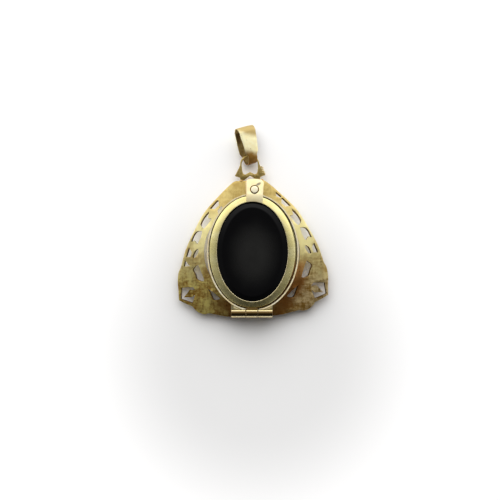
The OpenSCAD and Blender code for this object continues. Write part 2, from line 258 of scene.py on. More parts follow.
def makeFloor():
    bpy.ops.mesh.primitive_plane_add(size=floorLook["size"], location=(0, 0, 0))
    floor = bpy.context.active_object
    floor.name = "paleFloor"
    material, tree, shader = newMaterial("palePaper", Roughness=0.9, Specular_IOR_Level=0.1)
    shade = floorLook["paper"]
    # each painted shadow darkens the paper towards its middle
    for (cx, cy), inner, outer, dim in floorLook["paintedShadows"]:
        far = addNode(tree, "ShaderNodeVectorMath", {"operation": "LENGTH"},
                      [place(tree, at=(-cx * mm, -cy * mm, 0))], 1)
        shade = far.ramp(inner * mm, outer * mm, dim, 1) * shade
    paper = addNode(tree, "ShaderNodeCombineColor", None, [shade, shade, shade * floorLook["blue"]])
    feed(tree, shader, Base_Color=paper)
    floor.data.materials.append(material)


makeFloor()
print("locket: camera, light and floor set")


# finishes

def goldLook(name, pale, deep, rough, wear, scratch=0.35, blotch=2.4, metal=1.0, tint=None):
    # tint(tree, colour) may lay painted shade, painted highlights or a dark patch over the finished colour
    material, tree, shader = newMaterial(name, Metallic=metal)
    cloud = grain(tree, blotch, detail=4, roughness=0.6)
    fine = grain(tree, 0.5, detail=3)
    tone = (cloud * 0.75 + fine * 0.25).ramp(0.36, 0.66)
    hair = grain(tree, 0.35, scale=(1, 0.05, 1), turn=(0, 0, 0.6), detail=2)
    cross = grain(tree, 0.35, scale=(0.05, 1, 1), turn=(0, 0, 0.25), detail=2)
    lines = (hair + cross) * 0.5
    colour = tone.blend(deep, pale)
    feed(tree, shader,
         Base_Color=tint(tree, colour) if tint else colour,
         Roughness=(rough + (fine - 0.5) * wear + (lines - 0.5) * wear).clipped(),
         Normal=bump(tree, lines * 0.6 + fine * 0.4, scratch, 0.02))
    return material


def objectPlace(tree):
    # x, y and z of the shaded point in mm
    spot = addNode(tree, "ShaderNodeTexCoord", output=3)   # Object
    return [part / mm for part in splitParts(tree, spot)]


tintsAndShade = {
    "tubeLine": -11.67,               # the hinge tubes' y and radius
    "tubeRadius": 0.8,
    "tubeBrown": (0.16, 0.10, 0.035),
    "bailHead": (21.7, 23.0),         # painted shade: the strap turns tan from the first y to the second
    "bailTan": (0.50, 0.37, 0.14),
    "bailFoot": (18.4, 19.9),         # and brown from the second y down to the first
    "bailBrown": (0.26, 0.13, 0.02),
    "tabDarkPatch": (1.0, 12.9),          # place of the dark grey patch beside the stud
    "tabGrey": (0.10, 0.09, 0.09),
    "tabBrown": (0.42, 0.26, 0.10),
}


def tubeHighlightLines(tree, colour):
    # dark brown all over, with two painted highlight lines where the round tube would catch the light
    y = objectPlace(tree)[1]
    lean = (y - tintsAndShade["tubeLine"]) / tintsAndShade["tubeRadius"]
    side = lean.size()
    sheen = side.ramp(0.46, 0.62) * side.ramp(0.8, 0.92, 1, 0)
    return sheen.blend(tintsAndShade["tubeBrown"], colour)


def bailPaintedShade(tree, colour):
    # painted shade: tan where the strap curves over at the head, dark brown where it turns under at the
    # foot
    x, y = objectPlace(tree)[:2]
    mottle = grain(tree, 1.6, detail=4)
    along = y + x * 0.2 + (mottle - 0.5) * 1.2
    headed = along.ramp(*tintsAndShade["bailHead"]).blend(colour, tintsAndShade["bailTan"])
    return along.ramp(*tintsAndShade["bailFoot"], 1, 0).blend(headed, tintsAndShade["bailBrown"])


def tabPatchAndShade(tree, colour):
    # a dark grey patch beside the stud, and a painted shade line along the left edge
    x, y = objectPlace(tree)[:2]
    east, north = tintsAndShade["tabDarkPatch"]
    across = (x - east) * 0.5 - (y - north) * 0.86
    along = (x - east) * 0.86 + (y - north) * 0.5
    cloud = grain(tree, 0.5, detail=4)
    mottle = ((along / 0.6) ** 2 + (across / 0.24) ** 2 + (cloud - 0.5) * 2).ramp(0.2, 1.8, 0.8, 0)
    left = x.ramp(-1.3, -1.12, 0.7, 0) * y.ramp(10.6, 10.9)
    return left.blend(mottle.blend(colour, tintsAndShade["tabGrey"]), tintsAndShade["tabBrown"])


polishedGold = goldLook("polishedGold", (0.94, 0.84, 0.50), (0.86, 0.70, 0.34), 0.17, 0.2)
# a paler, less metallic gold painted on rims and edges as a painted highlight
paintedHighlightGold = goldLook("paintedHighlightGold", (1.0, 0.93, 0.70), (0.90, 0.74, 0.42), 0.34, 0.3, metal=0.55)
tubeGold = goldLook("tubeGold", (1.0, 0.90, 0.60), (0.92, 0.76, 0.42), 0.16, 0.12, 0.2, tint=tubeHighlightLines)
paleGold = goldLook("paleGold", (0.92, 0.84, 0.44), (0.84, 0.74, 0.32), 0.27, 0.25)
tabGold = goldLook("tabGold", (0.98, 0.88, 0.56), (0.92, 0.78, 0.44), 0.42, 0.25,
                   metal=0.65, tint=tabPatchAndShade)
studGold = goldLook("studGold", (1.0, 0.94, 0.72), (0.97, 0.88, 0.62), 0.45, 0.2, metal=0.35)
bailGold = goldLook("bailGold", (1.0, 0.95, 0.62), (0.95, 0.84, 0.46), 0.33, 0.2,
                    metal=0.55, tint=bailPaintedShade)
# a dark gold for painted shade on the faces inside the bail
bailInsideShade = goldLook("bailInsideShade", (0.46, 0.34, 0.12), (0.16, 0.09, 0.03), 0.5, 0.3, 0.5, 1.6)
solderGold = goldLook("solderGold", (0.90, 0.62, 0.28), (0.70, 0.40, 0.15), 0.38, 0.3, 0.6, 0.6)
beadGold = goldLook("beadGold", (0.96, 0.86, 0.50), (0.80, 0.62, 0.28), 0.3, 0.3, 0.5, 0.6, metal=0.9)
# a dark brown gold for painted shade in recesses, gaps and hollows
recessShade = goldLook("recessShade", (0.16, 0.10, 0.04), (0.05, 0.03, 0.015), 0.6, 0.3, 0.6, 0.8, metal=0.6)

plateTones = {
    "gold": (1.0, 0.86, 0.38),
    "light": (1.0, 0.89, 0.42),
    "tan": (0.84, 0.64, 0.25),
    "top": (0.80, 0.61, 0.22),
    "topDeep": (0.58, 0.40, 0.11),
    "olive": (1.0, 0.85, 0.27),
    "brown": (0.48, 0.26, 0.05),
    "rose": (1.0, 0.78, 0.40),
    "ember": (0.82, 0.34, 0.08),
    "paintedShade": (0.22, 0.09, 0.02),
}
plateShadeZones = {
    "caseHalf": (8.7, 11.15),    # half width and half length of the oval that the painted shade, reflection and highlight follow
    "stud": (0.3, 11.85),
    "studRing": (0.95, 1.2),     # radii over which the painted shade round the stud fades
}


def plateLook():
    material, tree, shader = newMaterial("satinPlateGold", Metallic=1.0)
    x, y = objectPlace(tree)[:2]
    cloud = grain(tree, 2.6, detail=5, roughness=0.65)
    fine = grain(tree, 0.45, detail=3)
    hair = grain(tree, 0.3, scale=(1, 0.06, 1), turn=(0, 0, -0.75), detail=2)
    cross = grain(tree, 0.3, scale=(0.07, 1, 1), turn=(0, 0, 0.35), detail=2)
    lines = (hair + cross) * 0.5
    tone = (cloud * 0.6 + fine * 0.2 + lines * 0.2).ramp(0.41, 0.59)
    upper = tone.blend(plateTones["tan"], plateTones["gold"])
    lower = tone.blend(plateTones["brown"], plateTones["olive"])
    right = tone.blend(plateTones["brown"], plateTones["rose"])
    # the lower part and the right side take deeper olive, brown and rose tones: painted shade where the
    # domed plate slopes away from the light
    low = (y + (cloud - 0.5) * 7).ramp(-7.0, -0.5, 1, 0)
    east = (x + (cloud - 0.5) * 5).ramp(4, 9)
    base = low.blend(upper, east.blend(lower, right))
    # painted shade darkens the plate round the foot of the case and round the stud, and a painted
    # red-brown reflection of the case shows on the right
    halfWidth, halfLength = plateShadeZones["caseHalf"]
    out = ((x / halfWidth) ** 2 + (y / halfLength) ** 2) ** 0.5
    edge = out + (cloud - 0.5) * 0.3
    paintedShade = edge.ramp(1.1, 1.38, 1, 0) * (y - x * 0.25).ramp(-8.5, -4.0, 1, 0)
    caseReflection = edge.ramp(1.05, 1.32, 1, 0) * x.ramp(3.5, 5.5) * y.ramp(-1.0, -3.0) * 0.8
    studX, studY = plateShadeZones["stud"]
    stud = (((x - studX) ** 2 + (y - studY) ** 2) ** 0.5).ramp(*plateShadeZones["studRing"], 1, 0)
    # a paler, less metallic band beside each side of the case: a painted highlight
    light = edge.ramp(1.26, 1.4, 1, 0) * x.size().ramp(3.5, 6.0) * y.ramp(-1.5, 2.0)
    warm = caseReflection.blend(light.blend(base, plateTones["light"]), plateTones["ember"])
    colour = (paintedShade * 0.85 + stud).clipped().blend(warm, plateTones["paintedShade"])
    top = tone.blend(plateTones["topDeep"], plateTones["top"])
    feed(tree, shader,
         Base_Color=y.ramp(5.0, 9.5, 0, 0.8).blend(colour, top),
         Metallic=1 - light * 0.32,
         Roughness=(0.38 + (fine - 0.5) * 0.3 + (lines - 0.5) * 0.5 + low * 0.03).clipped(),
         Normal=bump(tree, lines * 0.7 + fine * 0.3, 0.8, 0.03))
    return material


plateGold = plateLook()


# the second tone is a painted reflection, greyer than the black
onyxTones = {"black": (0.0006, 0.0006, 0.0009), "sheen": (0.0125, 0.0125, 0.0118),
             "sheenMiddle": (0.2, -0.4), "sheenHalf": (5.6, 7.6)}


def onyxLook():
    material, tree, shader = newMaterial("polishedOnyx", IOR=1.34)
    mottle = grain(tree, 3.5, detail=5, roughness=0.65)
    dust = grain(tree, 0.18, detail=2)
    x, y = objectPlace(tree)[:2]
    east, north = onyxTones["sheenMiddle"]
    halfWidth, halfLength = onyxTones["sheenHalf"]
    out = (((x - east) / halfWidth) ** 2 + ((y - north) / halfLength) ** 2) ** 0.5
    # the middle is rougher, as worn polish, and painted a little greyer in colour as a painted reflection
    sheen = (out + (mottle - 0.5) * 0.4).ramp(0.25, 1.0, 1, 0)
    haze = sheen * mottle.ramp(0.3, 0.7, 0.7, 1)
    feed(tree, shader,
         Base_Color=haze.blend(onyxTones["black"], onyxTones["sheen"]),
         Roughness=(0.05 + sheen * 0.12 + dust.ramp(0.62, 0.8) * 0.05).clipped(),
         Normal=bump(tree, mottle, 0.05, 0.01))
    return material


onyx = onyxLook()


cardTones = {"deep": (0.62, 0.54, 0.38), "pale": (0.80, 0.74, 0.60)}


def cardLook():
    material, tree, shader = newMaterial("oldCard", Roughness=0.85)
    spots = grain(tree, 1.6, detail=4)
    fibre = grain(tree, 0.16, scale=(1, 0.3, 1), detail=2)
    tone = (spots * 0.7 + fibre * 0.3).ramp(0.35, 0.65)
    feed(tree, shader,
         Base_Color=tone.blend(cardTones["deep"], cardTones["pale"]),
         Normal=bump(tree, fibre, 0.3, 0.02))
    return material


def sheetLook():
    material, tree, shader = newMaterial("clearSheet", IOR=1.49, Base_Color=(0.90, 0.93, 0.92))
    haze = grain(tree, 1.2, detail=4)
    feed(tree, shader, Roughness=haze.ramp(0.45, 0.8, 0.04, 0.16), Alpha=haze.ramp(0.4, 0.8, 0.10, 0.2),
         Normal=bump(tree, haze, 0.05, 0.01))
    return material


oldCard = cardLook()
clearSheet = sheetLook()
print("locket: finishes made")


# working steps

def clearSelection():
    if bpy.context.mode != "OBJECT":
        bpy.ops.object.mode_set(mode="OBJECT")
    bpy.ops.object.select_all(action="DESELECT")


def openPiece(piece):
    clearSelection()
    piece.select_set(True)
    bpy.context.view_layer.objects.active = piece
    bpy.ops.object.mode_set(mode="EDIT")


def pick(piece, test, kind="VERT"):
    bpy.ops.mesh.select_mode(type=kind)
    bpy.ops.mesh.select_all(action="DESELECT")
    grid = bmesh.from_edit_mesh(piece.data)
    items = grid.verts if kind == "VERT" else grid.edges
    for item in items:
        if test(item):
            item.select_set(True)
    grid.select_flush_mode()
    bmesh.update_edit_mesh(piece.data)


def modify(piece, kind, **settings):
    clearSelection()
    piece.select_set(True)
    bpy.context.view_layer.objects.active = piece
    change = piece.modifiers.new(kind.lower(), kind)
    for key, value in settings.items():
        setattr(change, key, value)
    bpy.ops.object.modifier_apply(modifier=change.name)


def finishPiece(piece, name, material, body, nodes=(),
                soften=0.0, segments=3, corner=28, smooth=35):
    if soften:
        modify(piece, "BEVEL", width=soften * mm, segments=segments, limit_method="ANGLE",
               angle_limit=math.radians(corner), use_clamp_overlap=True)
    clearSelection()
    piece.select_set(True)
    bpy.context.view_layer.objects.active = piece
    bpy.ops.object.transform_apply(location=True, rotation=True, scale=True)
    bpy.ops.object.shade_smooth_by_angle(angle=math.radians(smooth))
    piece.name = piece.data.name = name
    piece.data.materials.clear()
    piece.data.materials.append(material)
    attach(piece, body)
    if nodes:
        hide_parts(*nodes)
    print("locket:", name, len(piece.data.polygons), "faces")
    return piece


capRing = 0.25   # width of the flat ring round a cap, in mm


def ovalPiece(rows, middle=(0, 0), closed=True, steps=160):
    # rows go round the section as (half width, half length, height) in mm
    # an open section is capped, with a narrow flat ring round each cap that keeps its shading level
    if not closed:
        foot = (*grow(rows[0][:2], -capRing), rows[0][2])
        head = (*grow(rows[-1][:2], -capRing), rows[-1][2])
        rows = [foot, *rows, head]
    bpy.ops.object.select_all(action="DESELECT")
    bpy.ops.mesh.primitive_circle_add(vertices=steps, radius=1, fill_type="NOTHING", enter_editmode=True)
    piece = bpy.context.active_object
    a, b, z = rows[0]
    bpy.ops.transform.resize(value=(a * mm, b * mm, 1), center_override=(0, 0, 0))
    bpy.ops.transform.translate(value=(0, 0, z * mm))
    for a2, b2, z2 in rows[1:]:
        bpy.ops.mesh.extrude_edges_move(TRANSFORM_OT_translate={"value": (0, 0, (z2 - z) * mm)})
        bpy.ops.transform.resize(value=(a2 / a, b2 / b, 1), center_override=(0, 0, z2 * mm))
        a, b, z = a2, b2, z2
    bpy.ops.mesh.select_mode(type="EDGE")
    bpy.ops.mesh.select_all(action="DESELECT")
    bpy.ops.mesh.select_non_manifold()
    if closed:
        bpy.ops.mesh.bridge_edge_loops()
    else:
        bpy.ops.mesh.fill_holes(sides=0)
    bpy.ops.mesh.select_all(action="SELECT")
    bpy.ops.mesh.normals_make_consistent(inside=False)
    bpy.ops.transform.translate(value=(middle[0] * mm, middle[1] * mm, 0))
    bpy.ops.object.mode_set(mode="OBJECT")
    return piece


def copyNode(node, merge=0.002, flat=0.4):
    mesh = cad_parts[node].data.copy()
    piece = bpy.data.objects.new(node + "Copy", mesh)
    scene.collection.objects.link(piece)
    mesh.materials.clear()
    openPiece(piece)
    bpy.ops.mesh.select_all(action="SELECT")
    bpy.ops.mesh.customdata_custom_splitnormals_clear()
    bpy.ops.mesh.remove_doubles(threshold=merge * mm)
    bpy.ops.mesh.dissolve_limited(angle_limit=math.radians(flat))
    bpy.ops.object.mode_set(mode="OBJECT")
    return piece


def cutAway(piece, cutter):
    modify(piece, "BOOLEAN", operation="DIFFERENCE", solver="EXACT", object=cutter)
    bpy.data.objects.remove(cutter)


def paintFaces(piece, material, test):
    # faces that pass the test get a second finish
    if material.name not in piece.data.materials:
        piece.data.materials.append(material)
    index = piece.data.materials.find(material.name)
    for face in piece.data.polygons:
        if test(face.center / mm, face.normal):
            face.material_index = index


def outness(at, normal):
    # how far a face looks away from the middle: 1 straight out, -1 straight in
    return Vector((at.x, at.y, 0)).normalized().dot(normal)


def lump(name, at, size, seed):
    # a drop of solder, squashed and uneven
    bpy.ops.object.select_all(action="DESELECT")
    bpy.ops.mesh.primitive_ico_sphere_add(subdivisions=3, radius=mm)
    drop = bpy.context.active_object
    rng = random.Random(seed)
    openPiece(drop)
    for i in range(5):
        side = Vector((rng.uniform(-1, 1), rng.uniform(-1, 1), rng.uniform(-1, 1))).normalized()
        pick(drop, lambda vert: vert.co.normalized().dot(side) > 0.8)
        bpy.ops.transform.resize(value=(rng.uniform(0.75, 1.15),) * 3, center_override=(0, 0, 0))
    bpy.ops.mesh.select_all(action="SELECT")
    bpy.ops.mesh.vertices_smooth(factor=0.5, repeat=2)
    bpy.ops.transform.resize(value=size, center_override=(0, 0, 0))
    bpy.ops.transform.translate(value=[v * mm for v in at])
    bpy.ops.object.mode_set(mode="OBJECT")
    return finishPiece(drop, name, solderGold, "case", smooth=80)


def rod(radius, x0, x1, y, z, steps=64):
    bpy.ops.object.select_all(action="DESELECT")
    bpy.ops.mesh.primitive_cylinder_add(vertices=steps, radius=radius * mm, depth=(x1 - x0) * mm,
                                        location=((x0 + x1) / 2 * mm, y * mm, z * mm),
                                        rotation=(0, math.pi / 2, 0))
    piece = bpy.context.active_object
    bpy.ops.object.transform_apply(location=True, rotation=True, scale=True)
    return piece


def sizes(node):
    low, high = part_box(node)
    return [v / mm for v in low], [v / mm for v in high]


def halfAndMiddle(node):
    low, high = sizes(node)
    half = ((high[0] - low[0]) / 2, (high[1] - low[1]) / 2)
    middle = ((high[0] + low[0]) / 2, (high[1] + low[1]) / 2)
    return half, middle


def grow(oval, by):
    return oval[0] + by, oval[1] + by


def mixOne(a, b, share):
    return a + (b - a) * share


def mix(a, b, share):
    return tuple(mixOne(p, q, share) for p, q in zip(a, b))


# hinge line, shared by several pieces

pinLow, pinHigh = sizes("hinge_pin")
leftLow, leftHigh = sizes("left_knuckle")
rightLow, rightHigh = sizes("right_knuckle")
hinge = {
    "y": (pinLow[1] + pinHigh[1]) / 2,
    "z": (pinLow[2] + pinHigh[2]) / 2,
    "knuckle": (leftHigh[2] - leftLow[2]) / 2,
    "pin": (pinHigh[2] - pinLow[2]) / 2,
    "turnGap": 0.08,
    "edge": 0.12,
}


# case

case = {"wall": 0.27, "edge": 0.12, "floorEdge": 0.04, "highlightRim": 0.2}


def makeCase():
    low, high = sizes("case_wall")
    rimTop = high[2]
    outer, middle = halfAndMiddle("case_wall")
    bore = grow(outer, -case["wall"])
    section = [(*outer, low[2]), (*outer, high[2]), (*bore, high[2]), (*bore, low[2])]
    wall = ovalPiece(section, middle, steps=192)
    midCut = hinge["knuckle"] + hinge["turnGap"]
    cutAway(wall, rod(midCut, leftHigh[0], rightLow[0], hinge["y"], hinge["z"]))
    cutAway(wall, rod(hinge["knuckle"], leftLow[0], rightHigh[0], hinge["y"], hinge["z"]))
    finishPiece(wall, "caseWallSmooth", polishedGold, "case", ["case_wall"],
                soften=case["edge"], segments=4)
    bright = rimTop - case["highlightRim"]
    # painted highlight along the top and upper outer face of the case wall
    paintFaces(wall, paintedHighlightGold, lambda at, n: at.z > bright and (n.z > 0.2 or outness(at, n) > 0))
    # painted shade on the inside face of the case wall
    paintFaces(wall, recessShade, lambda at, n: outness(at, n) < -0.75)

    low, high = sizes("case_floor")
    oval, middle = halfAndMiddle("case_floor")
    floorDisc = ovalPiece([(*oval, low[2]), (*oval, high[2])], middle, closed=False, steps=128)
    finishPiece(floorDisc, "caseFloorDisc", plateGold, "case", ["case_floor"],
                soften=case["floorEdge"], segments=2)


makeCase()

stoneFront = {"bevel": 1.3, "bevelDrop": 0.2, "mouth": (6.84, 9.58), "seat": 0.52, "clear": 0.03,
              "lip": 0.2, "flat": 0.8, "slope": 0.3}


def makeFront():
    low, high = sizes("front_bezel")
    outer, middle = halfAndMiddle("front_bezel")
    mouth = stoneFront["mouth"]
    seat = mix(mouth, outer, stoneFront["seat"] / (outer[0] - mouth[0]))
    lip = low[2] + stoneFront["lip"]
    bezel = ovalPiece([
        (*mouth, low[2]), (*mix(mouth, outer, stoneFront["flat"]), low[2]),
        (*outer, low[2] + stoneFront["slope"]), (*outer, high[2]),
        (*seat, high[2]), (*seat, lip), (*mouth, lip)], middle, steps=192)
    finishPiece(bezel, "frontBezelRing", polishedGold, "case", ["front_bezel"],
                soften=0.06)
    low, high = sizes("front_onyx")
    tight = grow(mouth, -stoneFront["clear"])
    girdle = grow(seat, -stoneFront["clear"])
    stone = ovalPiece([
        (*grow(mouth, -stoneFront["bevel"]), low[2]), (*tight, low[2] + stoneFront["bevelDrop"]),
        (*tight, lip), (*girdle, lip), (*girdle, high[2])], middle, closed=False, steps=192)
    finishPiece(stone, "frontStone", onyx, "case", ["front_onyx"],
                soften=0.05, corner=6, smooth=20)


makeFront()


insides = {"sheetLift": 0.03, "edge": 0.02, "rimWidth": 0.8, "rimSlope": (0.15, 0.2), "rimEdge": 0.07}


def makeInsides():
    for node, name, material, slotName, lift in (
            ("picture_card", "pictureCardDisc", oldCard, "card", 0),
            ("picture_glass", "pictureClearSheet", clearSheet, "clear_sheet", insides["sheetLift"])):
        low, high = sizes(node)
        oval, middle = halfAndMiddle(node)
        disc = ovalPiece([(*oval, low[2] + lift), (*oval, high[2])], middle, closed=False, steps=128)
        finishPiece(disc, name, material, "case", [node], soften=insides["edge"], segments=2)
    low, high = sizes("picture_rim")
    outer, middle = halfAndMiddle("picture_rim")
    inner = grow(outer, -insides["rimWidth"])
    back, drop = insides["rimSlope"]
    ring = ovalPiece([
        (*outer, low[2]), (*outer, high[2]), (*grow(inner, back), high[2]), (*inner, high[2] - drop),
        (*inner, low[2])], middle)
    finishPiece(ring, "pictureRimRing", plateGold, "case", ["picture_rim"],
                soften=insides["rimEdge"])


makeInsides()
print("locket: case done")

# cover

cover = {"window": (6.74, 9.48), "bandOuterDrop": 0.45, "lip": 0.1, "ledge": 0.62, "clear": 0.03,
         "bevel": 1.05, "highlightLip": 0.3, "shadeSkirt": 0.12, "retainerWidth": 1.4}


def makeCover():
    low, high = sizes("cover_frame")
    outer, middle = halfAndMiddle("cover_frame")
    window = cover["window"]
    seat = mix(window, outer, cover["ledge"] / (outer[0] - window[0]))
    bandOuter = high[2] - cover["bandOuterDrop"]
    lipZ = bandOuter - cover["lip"]
    # the band slopes down from the window, as shares of the way to its outer edge
    band = ovalPiece([
        (*window, lipZ), (*window, high[2] - 0.05), (*mix(window, outer, 0.05), high[2]),
        (*mix(window, outer, 0.5), mixOne(high[2], bandOuter, 0.42)),
        (*mix(window, outer, 0.94), bandOuter), (*outer, bandOuter - 0.07), (*outer, low[2]),
        (*seat, low[2]), (*seat, lipZ)], middle, steps=192)
    finishPiece(band, "coverFrameBand", paleGold, "cover", ["cover_frame"],
                soften=0.05, corner=25)
    bright = high[2] - cover["highlightLip"]
    dark = bandOuter - cover["shadeSkirt"]
    # painted highlight on the lip round the window
    paintFaces(band, paintedHighlightGold, lambda at, n: outness(at, n) < -0.3 and at.z > bright)
    # painted shade on the frame's outer skirt below the band
    paintFaces(band, recessShade, lambda at, n: outness(at, n) > 0.8 and at.z < dark)
    low, high = sizes("cover_onyx")
    girdle = grow(seat, -cover["clear"])
    tight = grow(window, -cover["clear"])
    top = grow(window, -cover["bevel"])
    section = [(*girdle, low[2]), (*girdle, lipZ), (*tight, lipZ), (*top, high[2])]
    stone = ovalPiece(section, middle, closed=False, steps=192)
    finishPiece(stone, "coverStone", onyx, "cover", ["cover_onyx"],
                soften=0.12, segments=4, corner=6, smooth=20)
    low, high = sizes("cover_retainer")
    outer, middle = halfAndMiddle("cover_retainer")
    inner = grow(outer, -cover["retainerWidth"])
    ring = ovalPiece([(*outer, low[2]), (*outer, high[2]), (*inner, high[2]), (*inner, low[2])], middle)
    finishPiece(ring, "coverRetainerRing", plateGold, "cover", ["cover_retainer"],
                soften=0.06)


makeCover()
print("locket: cover done")

# hinge


def makeHinge():
    for node, name in (("left_knuckle", "leftKnuckleTube"), ("right_knuckle", "rightKnuckleTube")):
        low, high = sizes(node)
        tube = rod(hinge["knuckle"], low[0], high[0], hinge["y"], hinge["z"], steps=72)
        cutAway(tube, rod(hinge["pin"], low[0] - 1, high[0] + 1, hinge["y"], hinge["z"], steps=48))
        finishPiece(tube, name, tubeGold, "case", [node],
                    soften=hinge["edge"], segments=4)
        # painted shade on the tube ends, in the gaps between knuckles
        paintFaces(tube, recessShade, lambda at, n: abs(n.x) > 0.4)
    pin = rod(hinge["pin"], pinLow[0], pinHigh[0], hinge["y"], hinge["z"], steps=48)
    finishPiece(pin, "hingePinRod", polishedGold, "case", ["hinge_pin"],
                soften=hinge["edge"], segments=4)
    middle = copyNode("cover_knuckle")
    finishPiece(middle, "middleKnuckle", tubeGold, "cover", ["cover_knuckle"],
                soften=0.09, corner=40)
    # painted shade on the knuckle's ends, in the gaps beside it
    paintFaces(middle, recessShade, lambda at, n: abs(n.x) > 0.4)
    bearer = copyNode("hinge_bearer")
    finishPiece(bearer, "hingeBearerStrip", polishedGold, "case", ["hinge_bearer"],
                soften=0.05, segments=2, corner=40)


makeHinge()
print("locket: hinge done")

# catch

catch = {
    "studRound": 0.2,
    "tabEdge": 0.05,
    "shadeRing": 0.25,     # painted shade covers the tab's hole this far out from the stud
}


def makeCatch():
    low, high = sizes("catch_stud")
    half, middle = halfAndMiddle("catch_stud")
    radius = half[0]
    bpy.ops.object.select_all(action="DESELECT")
    bpy.ops.mesh.primitive_cylinder_add(vertices=64, radius=radius * mm, depth=(high[2] - low[2]) * mm,
                                        location=(middle[0] * mm, middle[1] * mm,
                                                  (low[2] + high[2]) / 2 * mm))
    stud = bpy.context.active_object
    bpy.ops.object.transform_apply(location=True, rotation=True, scale=True)
    modify(stud, "BEVEL", width=catch["studRound"] * mm, segments=5, limit_method="ANGLE",
           angle_limit=math.radians(60))
    finishPiece(stud, "catchStudPost", studGold, "case", ["catch_stud"])
    # painted shade on the stud's sides
    paintFaces(stud, recessShade, lambda at, n: abs(n.z) < 0.3)
    tab = copyNode("catch_tab")
    finishPiece(tab, "catchTabPlate", tabGold, "cover", ["catch_tab"],
                soften=catch["tabEdge"], corner=25)

    def inHole(at, n):
        fromStud = math.hypot(at.x - middle[0], at.y - middle[1])
        return abs(n.z) < 0.6 and fromStud < radius + catch["shadeRing"]

    # painted shade on the wall of the tab's hole
    paintFaces(tab, recessShade, inHole)


makeCatch()
print("locket: catch done")

# plate and loop

dome = {
    "radius": 80.0,
    "crown": 3.1,
    "thickness": 0.45,
    "grid": 0.8,          # the flat CAD faces are cut to this grid before they are domed
    "flare": 0.17,        # the outer wall of each opening leans: out at its top edge by flare,
    "tuck": 0.07,         # in at its foot by tuck
    "widestOpening": 6.0,
    "outline": 20.0,      # a band wider than this is the plate's outline, whose edge has a painted highlight
    "edge": 0.075,
    "near": 0.015,        # a vertex this close to the dome belongs to it
}
# a dark gold for painted shade on the walls of the openings
openingShade = goldLook("openingShade", (0.28, 0.17, 0.06), (0.11, 0.06, 0.02), 0.5, 0.3, 0.6, 0.5)


def bandWidth(band):
    across = [face.calc_center_median().x for face in band]
    return (max(across) - min(across)) / mm


def wallBands(grid):
    # the upright faces of each opening and of the outline, one list for each closed band
    walls = {face for face in grid.faces if abs(face.normal.z) < 0.5}
    bands = []
    while walls:
        band, edge = [], [walls.pop()]
        while edge:
            face = edge.pop()
            band.append(face)
            near = {other for vert in face.verts for other in vert.link_faces} & walls
            walls -= near
            edge.extend(near)
        bands.append(band)
    return sorted(bands, key=len)


def makePlate():
    plate = copyNode("pierced_plate", flat=0.6)
    openPiece(plate)
    grid = bmesh.from_edit_mesh(plate.data)
    for band in [band for band in wallBands(grid) if bandWidth(band) < dome["widestOpening"]]:
        moves = {}
        for face in band:
            for vert in face.verts:
                radial = Vector((vert.co.x, vert.co.y, 0)).normalized()
                share = max(0, -face.normal.dot(radial))
                by = dome["flare"] if vert.co.z > face.calc_center_median().z else -dome["tuck"]
                if share * abs(by) >= abs(moves.get(vert, 0)):
                    moves[vert] = share * by
        for vert, by in moves.items():
            vert.co += Vector((vert.co.x, vert.co.y, 0)).normalized() * by * mm
    bmesh.update_edit_mesh(plate.data)
    bpy.ops.object.mode_set(mode="OBJECT")
    modify(plate, "BEVEL", width=dome["edge"] * mm, segments=2, limit_method="ANGLE",
           angle_limit=math.radians(50), use_clamp_overlap=True)
    low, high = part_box("pierced_plate")
    openPiece(plate)
    step = dome["grid"] * mm
    for axis in (0, 1):
        normal = [0, 0, 0]
        normal[axis] = 1
        for i in range(1, int((high[axis] - low[axis]) / step)):
            spot = [0, 0, 0]
            spot[axis] = low[axis] + i * step
            bpy.ops.mesh.select_all(action="SELECT")
            bpy.ops.mesh.bisect(plane_co=spot, plane_no=normal)
    grid = bmesh.from_edit_mesh(plate.data)
    centre = Vector((0, 0, (dome["crown"] - dome["radius"]) * mm))
    for face in grid.faces:
        if abs(face.normal.z) > 0.9:
            radius = dome["radius"] - (0 if face.normal.z > 0 else dome["thickness"])
            for vert in face.verts:
                arm = vert.co - centre
                if abs(arm.length / mm - radius) < dome["near"]:
                    flatSide = math.hypot(arm.x, arm.y) / mm
                    vert.co.z = centre.z + math.sqrt(radius ** 2 - flatSide ** 2) * mm
    grid.normal_update()
    for band in wallBands(grid):
        if bandWidth(band) < dome["outline"]:
            for face in band:
                # painted shade on the walls of the openings
                face.material_index = 1
        else:
            # the faces along the outline's edges get the painted highlight gold
            rims = {other for face in band for edge in face.edges for other in edge.link_faces} - set(band)
            for face in rims:
                if face.normal.z < 0.97:
                    face.material_index = 2
    bmesh.update_edit_mesh(plate.data)
    bpy.ops.object.mode_set(mode="OBJECT")
    marks = [face.material_index for face in plate.data.polygons]
    finishPiece(plate, "piercedPlateSatin", plateGold, "case", ["pierced_plate"], smooth=40)
    plate.data.materials.append(openingShade)
    plate.data.materials.append(paintedHighlightGold)
    plate.data.polygons.foreach_set("material_index", marks)


makePlate()


loopDetail = {
    "edge": 0.06,
    "beads": ((1.62, 16.5), (1.86, 16.3), (1.68, 16.1), (1.98, 15.95),
              (1.78, 15.72), (2.12, 15.6), (1.9, 15.38), (2.24, 15.25)),
    "beadHeight": 1.86,
    "beadRadius": (0.15, 0.2),
    "beadSquash": 0.8,
    "solder": (           # name, place, half sizes and seed
        ("loopSolderLeft", (-2.2, 13.75, 1.8), (0.42, 0.3, 0.14), 3),
        ("loopSolderRight", (1.75, 13.9, 1.8), (0.36, 0.26, 0.12), 5),
        ("rimSolderLeft", (-8.42, -0.3, 3.35), (0.16, 0.34, 0.2), 7),
    ),
}


